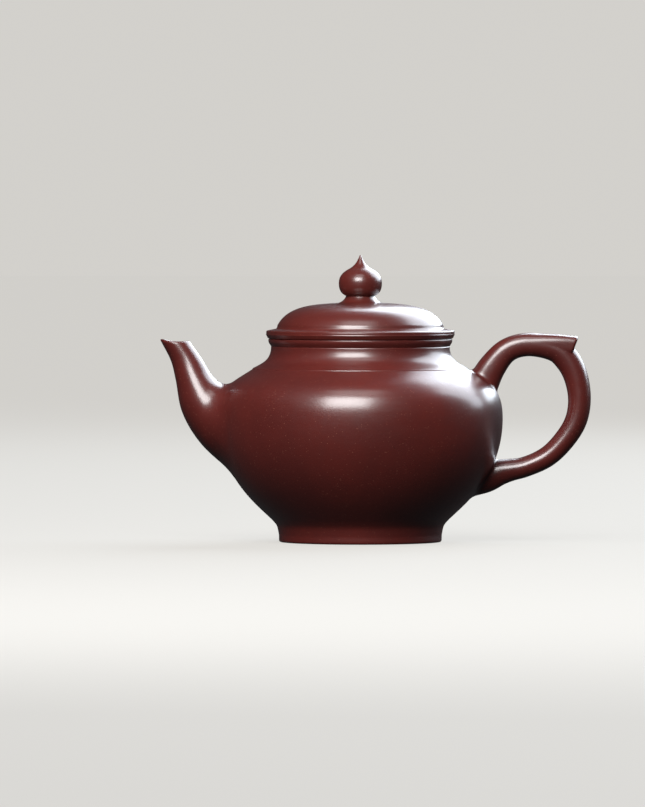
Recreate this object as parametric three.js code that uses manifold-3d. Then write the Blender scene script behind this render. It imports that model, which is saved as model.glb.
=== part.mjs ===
// A Yixing clay teapot: every slab, ring and coil that the potter makes by hand and lutes together with slip.
// Units are millimetres and +Z is up. The origin is on the table, under the middle of the pot's overall length.
// The spout points to -X and the handle to +X. Shapes are drawn about the pot's own axis, and one group sets them in place.
import * as THREE from "three";
import { LoftGeometry } from "three/addons/geometries/LoftGeometry.js";
import { mergeVertices } from "three/addons/utils/BufferGeometryUtils.js";
import Module from "manifold-3d";

const wasm = await Module();
wasm.setup();

// Driving dimensions: the pot
const FOOT_RADIUS = 30.5;
const FOOT_HEIGHT = 5;
const FOOT_WIDTH = 4.2;
const FOOT_FILLET = 3.4;
const FOOT_FILLET_REACH = 2.7;
const BASE_DISC_INSET = 1.6;
const FLOOR_THICKNESS = 3;
const WALL = 3;
const BELLY_RADIUS = 53.4;
const BELLY_HEIGHT = 46.4;
const SHOULDER_RADIUS = 40.1;
const SHOULDER_HEIGHT = 65.8;
const SHOULDER_DISC_THICKNESS = 2.9;
const NECK_RADIUS = 33.5;
const NECK_RISE = 7.6;
const COLLAR_LIP = 0.3;
const MOUTH_BORE_RADIUS = 29.5;
const RIM_RISE = 2.8;
const RIM_OVERHANG = 1;

// Driving dimensions: the lid
const LID_RADIUS = 35.4;
const LID_EDGE_HEIGHT = 2.9;
const LID_DOME_RISE = 9.6;
const LID_WALL = 2.8;
const LID_LEDGE = 3.6;
const FLANGE_DEPTH = 7;
const FLANGE_THICKNESS = 2.8;
const STEM_RADIUS = 5.4;
const STEM_HEIGHT = 2.6;
const KNOB_RADIUS = 8.1;
const KNOB_HEIGHT = 15.3;
const KNOB_TIP_RADIUS = 0.5;
const VENT_RADIUS = 1.1;
const VENT_FROM_AXIS = 13.5;

// Driving dimensions: spout and strainer
const SPOUT_REACH = 21.6;
const SPOUT_MOUTH_LENGTH = 11.7;
const SPOUT_MOUTH_WIDTH = 10;
const SPOUT_ROOT_WIDTH = 27;
const SPOUT_WALL = 1.7;
const SPOUT_HOLE_RADIUS = 7.4;
const SPOUT_HOLE_HEIGHT = 43;
const STRAINER_WALL = 1.6;
const STRAINER_RISE = 5.6;
const STRAINER_PORT_RADIUS = 0.95;

// Driving dimensions: the handle
const HANDLE_REACH = 33.1;
const HANDLE_THICKNESS = 8.6;
const HANDLE_WIDTH = 9.6;
const HANDLE_RISE = 2.1;
const THUMB_REST_LENGTH = 7;
const THUMB_REST_SETBACK = 5.6;

// Clearances
const LID_CLEARANCE = 0.3;
const SEAT_GAP = 0.1;
const SLIP_FILM = 0.3;

// Facets
const POT_SIDES = 44;
const KNOB_SIDES = 28;
const LOFT_SIDES = 20;

const NECK_HEIGHT = SHOULDER_HEIGHT + NECK_RISE;
const MOUTH_HEIGHT = NECK_HEIGHT + RIM_RISE;
const FLOOR_TOP = FOOT_HEIGHT + FLOOR_THICKNESS;
const DISC_UNDERSIDE = SHOULDER_HEIGHT - SHOULDER_DISC_THICKNESS;
const HANDLE_TOP = MOUTH_HEIGHT + HANDLE_RISE;

// ---------- Materials ----------

const burnishedClay = new THREE.MeshStandardMaterial({ color: 0x6b2f28, roughness: 0.38, metalness: 0 });
const lidClay = new THREE.MeshStandardMaterial({ color: 0x6e322a, roughness: 0.36, metalness: 0 });
const innerClay = new THREE.MeshStandardMaterial({ color: 0x5f2c25, roughness: 0.7, metalness: 0 });

// ---------- Outline and solid helpers ----------

// The point of an outline: distance from the pot's axis, then height.
function at(radius, height) {
  return new THREE.Vector2(radius, height);
}

function bezier(start, leave, arrive, end, steps) {
  return new THREE.CubicBezierCurve(start, leave, arrive, end).getPoints(steps);
}

// The same line moved sideways by a distance, to the left of its direction.
function offsetLine(points, distance) {
  return points.map((point, i) => {
    const before = points[Math.max(i - 1, 0)];
    const after = points[Math.min(i + 1, points.length - 1)];
    const along = after.clone().sub(before).normalize();
    return at(point.x - along.y * distance, point.y + along.x * distance);
  });
}

// Where a rising outline crosses a height.
function radiusAt(points, height) {
  const i = points.findIndex((point) => point.y >= height);
  if (i <= 0) return points.at(i).x;
  const [low, high] = [points[i - 1], points[i]];
  return low.x + ((high.x - low.x) * (height - low.y)) / (high.y - low.y);
}

// A rising outline between two heights, with an exact point at each end.
function between(points, bottom, top) {
  const inside = points.filter((point) => point.y > bottom + 0.05 && point.y < top - 0.05);
  return [at(radiusAt(points, bottom), bottom), ...inside, at(radiusAt(points, top), top)];
}

// A body of revolution. The outline runs up the outside and back down the inside or the axis.
function turned(outline, sides = POT_SIDES) {
  const onAxis = outline[0].x === 0;
  const closed = onAxis ? outline : [...outline, outline[0].clone()];
  return new THREE.LatheGeometry(closed, sides).rotateX(Math.PI / 2);
}

function toSolid(geometry) {
  const bare = new THREE.BufferGeometry().setAttribute("position", geometry.getAttribute("position"));
  bare.setIndex(geometry.index);
  const merged = mergeVertices(bare, 1e-4);
  return new wasm.Manifold(
    new wasm.Mesh({
      numProp: 3,
      vertProperties: new Float32Array(merged.attributes.position.array),
      triVerts: new Uint32Array(merged.index.array),
    }),
  );
}

function toGeometry(solid) {
  const mesh = solid.getMesh();
  const geometry = new THREE.BufferGeometry();
  geometry.setAttribute("position", new THREE.BufferAttribute(mesh.vertProperties, 3));
  geometry.setIndex(new THREE.BufferAttribute(mesh.triVerts, 1));
  geometry.computeVertexNormals();
  return geometry;
}

function piece(name, geometry, material) {
  const mesh = new THREE.Mesh(geometry, material);
  mesh.name = name;
  return mesh;
}

function smoothCurve(points) {
  return new THREE.CatmullRomCurve3(points.map(([x, z]) => new THREE.Vector3(x, 0, z)));
}

// A loft between two edge lines in the XZ plane. Each station is [outer edge, inner edge, width], and each section
// is an ellipse that spans the two edges and is that wide across.
function edgeLoft(stations, steps) {
  const outer = smoothCurve(stations.map((station) => station[0]));
  const inner = smoothCurve(stations.map((station) => station[1]));
  const widths = smoothCurve(stations.map((station) => [station[2], 0]));
  const sections = [];
  for (let i = 0; i <= steps; i++) {
    const [a, b] = [outer.getPoint(i / steps), inner.getPoint(i / steps)];
    const middle = a.clone().add(b).multiplyScalar(0.5);
    const half = a.clone().sub(b).multiplyScalar(0.5);
    const width = widths.getPoint(i / steps).x;
    sections.push(ring(middle, half, width));
  }
  return new LoftGeometry(sections, { capStart: true, capEnd: true });
}

// A loft along a centre line in the XZ plane. Each station is [x, z, thickness, width]. A film makes the coil that
// much larger all round and longer at both ends, so that it can trim a neighbour.
function coil(stations, steps, film = 0) {
  const spine = smoothCurve(stations.map(([x, z]) => [x, z]));
  const sizes = smoothCurve(stations.map(([, , thickness, width]) => [thickness, width]));
  const sections = [];
  for (let i = 0; i <= steps; i++) {
    const along = spine.getTangent(i / steps);
    const size = sizes.getPoint(i / steps);
    const past = i === steps ? film : i === 0 ? -film : 0;
    const middle = spine.getPoint(i / steps).addScaledVector(along, past);
    const half = new THREE.Vector3(-along.z, 0, along.x).multiplyScalar(size.x / 2 + film);
    sections.push(ring(middle, half, size.z + 2 * film));
  }
  return new LoftGeometry(sections, { capStart: true, capEnd: true });
}

function ring(middle, half, width) {
  return Array.from({ length: LOFT_SIDES }, (_, i) => {
    const turn = (i / LOFT_SIDES) * 2 * Math.PI;
    const point = middle.clone().addScaledVector(half, Math.cos(turn));
    point.y -= (width / 2) * Math.sin(turn);
    return point;
  });
}

// ---------- The pot's outline ----------

// Foot to shoulder line: a short fillet out of the foot, the long flank up to the belly, and the shoulder above it.
const flankFoot = at(FOOT_RADIUS + FOOT_FILLET_REACH, FOOT_HEIGHT + FOOT_FILLET);
const belly = at(BELLY_RADIUS, BELLY_HEIGHT);
const shoulder = at(SHOULDER_RADIUS, SHOULDER_HEIGHT);
const flankRise = BELLY_HEIGHT - flankFoot.y;
const shoulderRise = SHOULDER_HEIGHT - BELLY_HEIGHT;
const bodyOutline = [
  ...bezier(
    at(FOOT_RADIUS + 0.5, FOOT_HEIGHT),
    at(FOOT_RADIUS + 0.8, FOOT_HEIGHT + FOOT_FILLET * 0.45),
    at(flankFoot.x - 1.2, flankFoot.y - 1.3),
    flankFoot,
    3,
  ),
  ...bezier(
    flankFoot,
    at(flankFoot.x + (BELLY_RADIUS - flankFoot.x) * 0.27, flankFoot.y + flankRise * 0.14),
    at(BELLY_RADIUS, BELLY_HEIGHT - flankRise * 0.57),
    belly,
    7,
  ).slice(1),
  ...bezier(
    belly,
    at(BELLY_RADIUS, BELLY_HEIGHT + shoulderRise * 0.6),
    at(SHOULDER_RADIUS + (BELLY_RADIUS - SHOULDER_RADIUS) * 0.53, SHOULDER_HEIGHT - shoulderRise * 0.205),
    shoulder,
    6,
  ).slice(1),
];
const cavityOutline = offsetLine(bodyOutline, WALL);

// The pot's filled outer form, a film of slip larger than the clay, which trims what is luted onto it.
function bodyTrimmer() {
  const grown = offsetLine(bodyOutline, -SLIP_FILM);
  return toSolid(turned([at(0, FOOT_HEIGHT), ...grown, at(0, SHOULDER_HEIGHT)]));
}

// ---------- The pot's pieces ----------

function footRing() {
  const inner = FOOT_RADIUS - FOOT_WIDTH;
  const edge = 0.6;
  return turned([
    at(inner + edge, 0),
    at(FOOT_RADIUS - edge, 0),
    at(FOOT_RADIUS, edge),
    at(FOOT_RADIUS + 0.05, FOOT_HEIGHT * 0.55),
    bodyOutline[0],
    at(inner, FOOT_HEIGHT),
    at(inner, edge),
  ]);
}

const BASE_DISC_RADIUS = FOOT_RADIUS - BASE_DISC_INSET;

function baseDisc() {
  return turned([
    at(0, FOOT_HEIGHT),
    at(BASE_DISC_RADIUS, FOOT_HEIGHT),
    at(BASE_DISC_RADIUS, FLOOR_TOP),
    at(0, FLOOR_TOP),
  ]);
}

function bodyWall() {
  const outside = between(bodyOutline, FOOT_HEIGHT, DISC_UNDERSIDE);
  const inside = between(cavityOutline, FLOOR_TOP, DISC_UNDERSIDE).reverse();
  inside.splice(-1, 1, at(BASE_DISC_RADIUS, FLOOR_TOP), at(BASE_DISC_RADIUS, FOOT_HEIGHT));
  const hole = new THREE.CylinderGeometry(SPOUT_HOLE_RADIUS, SPOUT_HOLE_RADIUS, WALL * 8, LOFT_SIDES)
    .rotateZ(Math.PI / 2)
    .translate(-BELLY_RADIUS, 0, SPOUT_HOLE_HEIGHT);
  return toGeometry(toSolid(turned([...outside, ...inside])).subtract(toSolid(hole)));
}

function shoulderDisc() {
  return turned([
    at(MOUTH_BORE_RADIUS, DISC_UNDERSIDE),
    ...between(bodyOutline, DISC_UNDERSIDE, SHOULDER_HEIGHT),
    at(MOUTH_BORE_RADIUS, SHOULDER_HEIGHT),
  ]);
}

function neckCollar() {
  const flare = bezier(
    at(SHOULDER_RADIUS, SHOULDER_HEIGHT + COLLAR_LIP),
    at(SHOULDER_RADIUS - (SHOULDER_RADIUS - NECK_RADIUS) * 0.53, SHOULDER_HEIGHT + NECK_RISE * 0.28),
    at(NECK_RADIUS, SHOULDER_HEIGHT + NECK_RISE * 0.5),
    at(NECK_RADIUS, NECK_HEIGHT),
    6,
  );
  return turned([
    at(MOUTH_BORE_RADIUS, SHOULDER_HEIGHT),
    at(SHOULDER_RADIUS, SHOULDER_HEIGHT),
    ...flare,
    at(MOUTH_BORE_RADIUS, NECK_HEIGHT),
  ]);
}

function mouthRing() {
  const top = NECK_RADIUS + RIM_OVERHANG;
  return turned([
    at(MOUTH_BORE_RADIUS, NECK_HEIGHT),
    at(NECK_RADIUS + 0.1, NECK_HEIGHT),
    at(NECK_RADIUS + RIM_OVERHANG * 0.4, NECK_HEIGHT + RIM_RISE * 0.45),
    at(top, NECK_HEIGHT + RIM_RISE * 0.75),
    at(top - 0.15, MOUTH_HEIGHT - 0.15),
    at(top - 0.5, MOUTH_HEIGHT),
    at(MOUTH_BORE_RADIUS, MOUTH_HEIGHT),
  ]);
}

// ---------- Spout and strainer ----------

// The spout's two edge lines, from inside the pot's wall up to the level mouth. Each row is how far the outer edge
// reaches past the belly and rises above the hole, the same for the inner edge, and how much of the root's width is left.
const spoutRise = MOUTH_HEIGHT - SPOUT_HOLE_HEIGHT;
const SPOUT_COURSE = [
  [0.31, -0.175, -0.153, 0.455, 0.86],
  [0.625, 0.175, 0.01, 0.518, 0.6],
  [0.736, 0.54, 0.13, 0.627, 0.27],
  [0.815, 0.747, 0.255, 0.77, 0.1],
];

function spoutPoint(reach, rise) {
  return new THREE.Vector2(-(BELLY_RADIUS + SPOUT_REACH * reach), SPOUT_HOLE_HEIGHT + spoutRise * rise);
}

function spoutStations(shrink) {
  const lowRoot = SPOUT_HOLE_HEIGHT * 0.55;
  const highRoot = SPOUT_HOLE_HEIGHT + spoutRise * 0.44;
  const rootDepth = WALL * 1.5;
  const outerRoot = new THREE.Vector2(rootDepth - radiusAt(bodyOutline, lowRoot), lowRoot);
  const innerRoot = new THREE.Vector2(rootDepth - radiusAt(bodyOutline, highRoot), highRoot);
  const mouthEnd = 1 - SPOUT_MOUTH_LENGTH / SPOUT_REACH;
  const course = SPOUT_COURSE.map(([a, b, c, d, spread]) => [spoutPoint(a, b), spoutPoint(c, d), spread]);
  const rows = [[outerRoot, innerRoot, 1], ...course, [spoutPoint(1, 1), spoutPoint(mouthEnd, 1), 0]];
  return rows.map(([outer, inner, spread]) => {
    const inward = inner.clone().sub(outer).setLength(shrink);
    const width = SPOUT_MOUTH_WIDTH + (SPOUT_ROOT_WIDTH - SPOUT_MOUTH_WIDTH) * spread - 2 * shrink;
    return [outer.add(inward).toArray(), inner.sub(inward).toArray(), width];
  });
}

// The tea's way through the spout: it opens past both ends, and narrows to the hole in the pot's wall.
function spoutBore() {
  const stations = spoutStations(SPOUT_WALL);
  const [mouthOuter, mouthInner, mouthWidth] = stations.at(-1);
  stations.push([
    [mouthOuter[0] - 0.8, mouthOuter[1] + 3],
    [mouthInner[0] - 0.8, mouthInner[1] + 3],
    mouthWidth,
  ]);
  const holeWidth = 2 * SPOUT_HOLE_RADIUS;
  const inWall = -(BELLY_RADIUS - WALL);
  stations[0] = [
    [inWall, SPOUT_HOLE_HEIGHT - SPOUT_HOLE_RADIUS],
    [inWall, SPOUT_HOLE_HEIGHT + SPOUT_HOLE_RADIUS],
    holeWidth,
  ];
  stations[1] = [
    [-(BELLY_RADIUS + SPOUT_REACH * 0.24), SPOUT_HOLE_HEIGHT - SPOUT_HOLE_RADIUS * 0.75],
    [-(BELLY_RADIUS + SPOUT_REACH * 0.02), SPOUT_HOLE_HEIGHT + SPOUT_HOLE_RADIUS * 1.05],
    holeWidth,
  ];
  return edgeLoft(stations, 16);
}

function spout(trimmer) {
  const skin = toSolid(edgeLoft(spoutStations(0), 16));
  return toGeometry(skin.subtract(toSolid(spoutBore())).subtract(trimmer));
}

// A pierced clay dome whose short skirt plugs the hole in the wall. It bulges into the pot.
function strainer() {
  const outer = SPOUT_HOLE_RADIUS - SLIP_FILM;
  const inner = outer - STRAINER_WALL;
  const skirt = WALL * 0.8;
  const dome = (radius, rise) => bezier(
    at(radius, skirt),
    at(radius, skirt + rise * 0.55),
    at(radius * 0.55, skirt + rise),
    at(0, skirt + rise),
    5,
  );
  const shell = toSolid(turned(
    [...dome(inner, STRAINER_RISE - STRAINER_WALL).reverse(), at(inner, 0), at(outer, 0), ...dome(outer, STRAINER_RISE)],
    24,
  ));
  const port = new THREE.CylinderGeometry(STRAINER_PORT_RADIUS, STRAINER_PORT_RADIUS, STRAINER_RISE * 4, 6);
  port.rotateX(Math.PI / 2);
  const rows = [[0, 1], [0.36, 6], [0.78, 10]];
  let pierced = shell;
  for (const [lean, count] of rows) {
    for (let i = 0; i < count; i++) {
      const drill = port.clone().translate(0, 0, STRAINER_RISE * 2).rotateY(lean).rotateZ((i / count) * 2 * Math.PI);
      pierced = pierced.subtract(toSolid(drill.translate(0, 0, skirt * 0.4)));
    }
  }
  return toGeometry(pierced);
}

// ---------- Handle ----------

// The upper arm: thick where it is luted to the shoulder, level over the top, and cut off square as a thumb rest.
function armStations() {
  const rootHeight = MOUTH_HEIGHT * 0.757;
  const middle = HANDLE_TOP - HANDLE_THICKNESS / 2;
  const end = BELLY_RADIUS + HANDLE_REACH - THUMB_REST_SETBACK;
  const rows = [
    [radiusAt(bodyOutline, rootHeight) - WALL * 1.7, rootHeight, 1.38, 1.34],
    [BELLY_RADIUS - HANDLE_REACH * 0.1, middle - 8.7, 1.22, 1.2],
    [BELLY_RADIUS + HANDLE_REACH * 0.07, middle - 2.8, 1.07, 1.08],
    [BELLY_RADIUS + HANDLE_REACH * 0.28, middle, 1.02, 1],
    [end - THUMB_REST_LENGTH, middle - 0.1, 0.92, 0.98],
    [end, middle - 0.25, 0.74, 0.96],
  ];
  return rows.map(([x, z, thick, wide]) => [x, z, thick * HANDLE_THICKNESS, wide * HANDLE_WIDTH]);
}

// The grip: it leaves the arm from below, swings out to the handle's full reach and back towards the pot. Each row is
// the share of the reach it stands in from the far side, the share of the drop, its thickness and its width.
const LOOP_COURSE = [
  [0.205, 0.12, 1.1, 1],
  [0.0725, 0.26, 1.06, 1],
  [0, 0.46, 1, 1],
  [0.06, 0.64, 1, 0.98],
  [0.254, 0.81, 0.91, 0.95],
  [0.55, 0.93, 0.81, 0.92],
  [0.773, 0.965, 0.9, 0.92],
];

function loopStations() {
  const far = BELLY_RADIUS + HANDLE_REACH - HANDLE_THICKNESS / 2;
  const drop = HANDLE_TOP - MOUTH_HEIGHT * 0.32;
  return LOOP_COURSE.map(([inward, down, thick, wide]) => [
    far - HANDLE_REACH * inward,
    HANDLE_TOP - drop * down,
    thick * HANDLE_THICKNESS,
    wide * HANDLE_WIDTH,
  ]);
}

// The tail: it carries on from inside the end of the grip and spreads onto the pot's flank.
function tailStations() {
  const grip = loopStations();
  const [x, z, thickness, width] = grip.at(-1);
  const [beforeX, beforeZ] = grip.at(-2);
  const back = new THREE.Vector2(beforeX - x, beforeZ - z).setLength(1);
  const rootHeight = z - 3;
  const root = radiusAt(bodyOutline, rootHeight);
  return [
    [x + back.x, z + back.y, thickness, width],
    [(x + root) / 2 + 0.5, z - 0.9, thickness * 1.12, width * 1.04],
    [root, rootHeight + 0.9, thickness * 1.55, width * 1.18],
    [root - WALL * 1.6, rootHeight + 0.2, thickness * 1.7, width * 1.25],
  ];
}

const ARM_STEPS = 14;
const LOOP_STEPS = 16;
const TAIL_STEPS = 8;

function handleArm(trimmer) {
  return toGeometry(toSolid(coil(armStations(), ARM_STEPS)).subtract(trimmer));
}

function handleLoop() {
  const arm = toSolid(coil(armStations(), ARM_STEPS, SLIP_FILM));
  return toGeometry(toSolid(coil(loopStations(), LOOP_STEPS)).subtract(arm));
}

function handleTail(trimmer) {
  const loop = toSolid(coil(loopStations(), LOOP_STEPS, SLIP_FILM));
  return toGeometry(toSolid(coil(tailStations(), TAIL_STEPS)).subtract(loop).subtract(trimmer));
}

// ---------- Lid, drawn about its own seat plane ----------

const LID_BORE_RADIUS = MOUTH_BORE_RADIUS - LID_CLEARANCE - FLANGE_THICKNESS;
const PLATE_TOP = LID_EDGE_HEIGHT + 0.8;
const DOME_TOP = PLATE_TOP + LID_DOME_RISE;

function lidPlate() {
  const lip = 0.25;
  return turned([
    at(LID_BORE_RADIUS, 0),
    at(LID_RADIUS - 0.9, 0),
    at(LID_RADIUS - 0.6, lip),
    at(LID_RADIUS, LID_EDGE_HEIGHT - lip),
    at(LID_RADIUS - lip, LID_EDGE_HEIGHT),
    at(LID_RADIUS - LID_LEDGE, PLATE_TOP),
    at(LID_BORE_RADIUS, PLATE_TOP),
  ]);
}

function lidDome() {
  const foot = LID_RADIUS - LID_LEDGE;
  const crown = STEM_RADIUS + 3;
  const skin = [
    at(foot, PLATE_TOP),
    ...bezier(
      at(foot - 0.7, PLATE_TOP + 1.3),
      at(foot - 4.6, PLATE_TOP + LID_DOME_RISE * 0.9),
      at(crown + 9, DOME_TOP - 0.42),
      at(crown, DOME_TOP),
      9,
    ),
  ];
  const under = offsetLine(skin.slice(1), LID_WALL).reverse();
  const outline = [
    at(0, DOME_TOP - LID_WALL),
    ...under.filter((point) => point.y > PLATE_TOP + 0.6),
    at(foot - 0.7 - LID_WALL, PLATE_TOP),
    ...skin,
    at(0, DOME_TOP),
  ];
  const vent = new THREE.CylinderGeometry(VENT_RADIUS, VENT_RADIUS, LID_WALL * 4, 12)
    .rotateX(Math.PI / 2)
    .translate(0, VENT_FROM_AXIS, DOME_TOP - LID_WALL / 2);
  return toGeometry(toSolid(turned(outline)).subtract(toSolid(vent)));
}

function lidFlange() {
  const outer = MOUTH_BORE_RADIUS - LID_CLEARANCE;
  const edge = 0.5;
  return turned([
    at(LID_BORE_RADIUS, -FLANGE_DEPTH),
    at(outer - edge, -FLANGE_DEPTH),
    at(outer, -FLANGE_DEPTH + edge),
    at(outer, 0),
    at(LID_BORE_RADIUS, 0),
  ]);
}

function knobStem() {
  return turned([
    at(0, DOME_TOP),
    at(STEM_RADIUS + 3, DOME_TOP),
    at(STEM_RADIUS + 1.5, DOME_TOP + STEM_HEIGHT * 0.3),
    at(STEM_RADIUS + 0.5, DOME_TOP + STEM_HEIGHT * 0.62),
    at(STEM_RADIUS, DOME_TOP + STEM_HEIGHT),
    at(0, DOME_TOP + STEM_HEIGHT),
  ], KNOB_SIDES);
}

function knob() {
  const bottom = DOME_TOP + STEM_HEIGHT;
  const waist = bottom + KNOB_HEIGHT * 0.32;
  const tip = bottom + KNOB_HEIGHT;
  const bulb = bezier(
    at(STEM_RADIUS - 0.1, bottom),
    at(KNOB_RADIUS - 0.7, bottom + KNOB_HEIGHT * 0.06),
    at(KNOB_RADIUS, waist - KNOB_HEIGHT * 0.15),
    at(KNOB_RADIUS, waist),
    5,
  );
  const point = bezier(
    at(KNOB_RADIUS, waist),
    at(KNOB_RADIUS, waist + KNOB_HEIGHT * 0.36),
    at(KNOB_TIP_RADIUS + 2.6, tip - KNOB_HEIGHT * 0.39),
    at(KNOB_TIP_RADIUS, tip),
    9,
  );
  return turned([at(0, bottom), ...bulb, ...point.slice(1), at(0, tip)], KNOB_SIDES);
}

// ---------- Assembly ----------

function buildLid() {
  const lid = new THREE.Group();
  lid.add(
    piece("lid_flange", lidFlange(), lidClay),
    piece("lid_plate", lidPlate(), lidClay),
    piece("lid_dome", lidDome(), lidClay),
    piece("knob_stem", knobStem(), lidClay),
    piece("knob", knob(), lidClay),
  );
  lid.position.z = MOUTH_HEIGHT + SEAT_GAP;
  return lid;
}

function buildPot() {
  const trimmer = bodyTrimmer();
  const pot = new THREE.Group();
  const sieve = piece("strainer", strainer(), innerClay);
  sieve.rotation.y = Math.PI / 2;
  const seat = radiusAt(bodyOutline, SPOUT_HOLE_HEIGHT - SPOUT_HOLE_RADIUS) - SLIP_FILM;
  sieve.position.set(-seat, 0, SPOUT_HOLE_HEIGHT);
  pot.add(
    piece("foot_ring", footRing(), burnishedClay),
    piece("base_disc", baseDisc(), burnishedClay),
    piece("body_wall", bodyWall(), burnishedClay),
    piece("shoulder_disc", shoulderDisc(), burnishedClay),
    piece("neck_collar", neckCollar(), burnishedClay),
    piece("mouth_ring", mouthRing(), burnishedClay),
    piece("spout", spout(trimmer), burnishedClay),
    piece("handle_arm", handleArm(trimmer), burnishedClay),
    piece("handle_loop", handleLoop(), burnishedClay),
    piece("handle_tail", handleTail(trimmer), burnishedClay),
    sieve,
  );
  return pot;
}

const teapot = new THREE.Group();
teapot.add(buildPot(), buildLid());
teapot.position.x = (SPOUT_REACH - HANDLE_REACH) / 2;

export default teapot;
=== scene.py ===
"""The looks of a Yixing clay teapot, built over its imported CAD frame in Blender.

Shapes are worked out in millimetres about the pot's own axis, from the boxes of the CAD nodes,
and are set into the frame, in metres, when a piece is made. The spout points to -X, the handle
to +X, and the camera looks along +Y.
"""

import math

import bmesh
import bpy
import numpy as np
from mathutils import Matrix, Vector

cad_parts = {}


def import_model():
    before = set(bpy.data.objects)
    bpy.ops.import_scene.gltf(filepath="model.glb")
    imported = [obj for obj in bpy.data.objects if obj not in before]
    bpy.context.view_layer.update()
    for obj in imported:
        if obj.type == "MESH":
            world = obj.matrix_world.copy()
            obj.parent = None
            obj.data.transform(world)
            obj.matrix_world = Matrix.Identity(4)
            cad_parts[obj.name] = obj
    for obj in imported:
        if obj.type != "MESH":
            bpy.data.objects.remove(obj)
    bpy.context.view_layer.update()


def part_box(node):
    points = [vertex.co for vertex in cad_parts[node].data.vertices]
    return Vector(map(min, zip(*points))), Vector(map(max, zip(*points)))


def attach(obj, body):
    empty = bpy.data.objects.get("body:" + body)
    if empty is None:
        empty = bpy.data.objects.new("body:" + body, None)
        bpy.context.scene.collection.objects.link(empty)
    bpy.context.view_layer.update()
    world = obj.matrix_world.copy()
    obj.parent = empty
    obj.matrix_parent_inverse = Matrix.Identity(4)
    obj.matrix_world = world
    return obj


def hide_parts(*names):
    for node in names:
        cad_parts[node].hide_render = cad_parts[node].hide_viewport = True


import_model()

MM = 0.001


def low(node):
    return np.array(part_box(node)[0]) / MM


def high(node):
    return np.array(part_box(node)[1]) / MM


# ---------- Sizes taken from the frame ----------

AXIS_X = (low("mouth_ring")[0] + high("mouth_ring")[0]) / 2

FOOT_TOP_R, FOOT_TOP_Z = high("foot_ring")[1:]
DISC_R, FLOOR_Z = high("base_disc")[1:]
BELLY_R = high("body_wall")[1]
WALL_TOP_Z = high("body_wall")[2]
SHOULDER_R = high("neck_collar")[1]
SHOULDER_Z = low("neck_collar")[2]
NECK_TOP_Z = low("mouth_ring")[2]
RIM_R, MOUTH_Z = high("mouth_ring")[1:]
SEAT_Z = low("lid_plate")[2]
LID_R, PLATE_TOP_Z = high("lid_plate")[1:]
DOME_R, DOME_TOP_Z = high("lid_dome")[1:]
FLANGE_R = high("lid_flange")[1]
FLANGE_LOW_Z = low("lid_flange")[2]
CROWN_R, STEM_TOP_Z = high("knob_stem")[1:]
KNOB_R, TIP_Z = high("knob")[1:]
SIEVE_R = high("strainer")[1]
SIEVE_SEAT_X = low("strainer")[0] - AXIS_X
HOLE_Z = (low("strainer")[2] + high("strainer")[2]) / 2
SPOUT_REACH = AXIS_X - low("spout")[0] - BELLY_R
HANDLE_REACH = high("handle_loop")[0] - AXIS_X - BELLY_R
HANDLE_WIDE = 2 * high("handle_loop")[1]
THUMB_REST_RISE = 0.25
HANDLE_TOP_Z = high("handle_arm")[2] - THUMB_REST_RISE

# ---------- Sizes of the clay itself ----------

FOOT_R = FOOT_TOP_R - 0.5
FOOT_WIDTH = 4.2
BELLY_Z = 46.4
WALL = 3.0
NECK_R = RIM_R - 1.0
# The shoulder line shows a little below the joint between the shoulder and the collar.
LINE_DROP = 0.7
LINE_Z = SHOULDER_Z - LINE_DROP
FIT_GAP = 0.3
BORE_R = FLANGE_R + FIT_GAP
HOLE_R = SIEVE_R + FIT_GAP
FLANGE_WIDTH = 2.8
LID_BORE_R = FLANGE_R - FLANGE_WIDTH
LID_WALL = 2.8
# A hair's gap between the flange and the plate, which turn on different bodies.
LID_TURN_GAP = 0.03
VENT_R = 1.1
VENT_Y = 13.5
HANDLE_THICK = 8.6

# ---------- How finely things are drawn ----------

POT_TURNS = 192
KNOB_TURNS = 96
SIEVE_TURNS = 64
RAILS = 96
CORNER_STEPS = 5
COIL_STEPS = 12
SPOUT_STEPS = 24
LONGEST_STEP = 1.2
VOXEL = 0.24
ON_AXIS = 1e-9
HARD_EDGE = math.radians(50)


# ---------- Outlines, as rows of radius and height ----------


def bezier(start, leave, arrive, end, steps):
    """A cubic curve between two points, or a row of such curves between two rings."""
    a, b, c, d = (np.array(point, float) for point in (start, leave, arrive, end))
    t = np.linspace(0, 1, steps + 1).reshape(-1, *[1] * a.ndim)
    return (1 - t) ** 3 * a + 3 * (1 - t) ** 2 * t * b + 3 * (1 - t) * t**2 * c + t**3 * d


def unit(vectors):
    return vectors / np.linalg.norm(vectors, axis=-1, keepdims=True)


def round_angles(count):
    """Even steps once round, in radians."""
    return np.arange(count) / count * 2 * np.pi


def offset(line, distance):
    """The same line moved sideways, to the left of its direction."""
    along = unit(np.gradient(line, axis=0))
    return line + distance * np.stack([-along[:, 1], along[:, 0]], 1)


def between(line, bottom, top, clear=0.05):
    """The part of a rising outline between two heights, with an exact point at each end."""
    inside = line[(line[:, 1] > bottom + clear) & (line[:, 1] < top - clear)]
    first, last = ([np.interp(z, line[:, 1], line[:, 0]), z] for z in (bottom, top))
    return np.vstack([first, inside, last])


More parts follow.
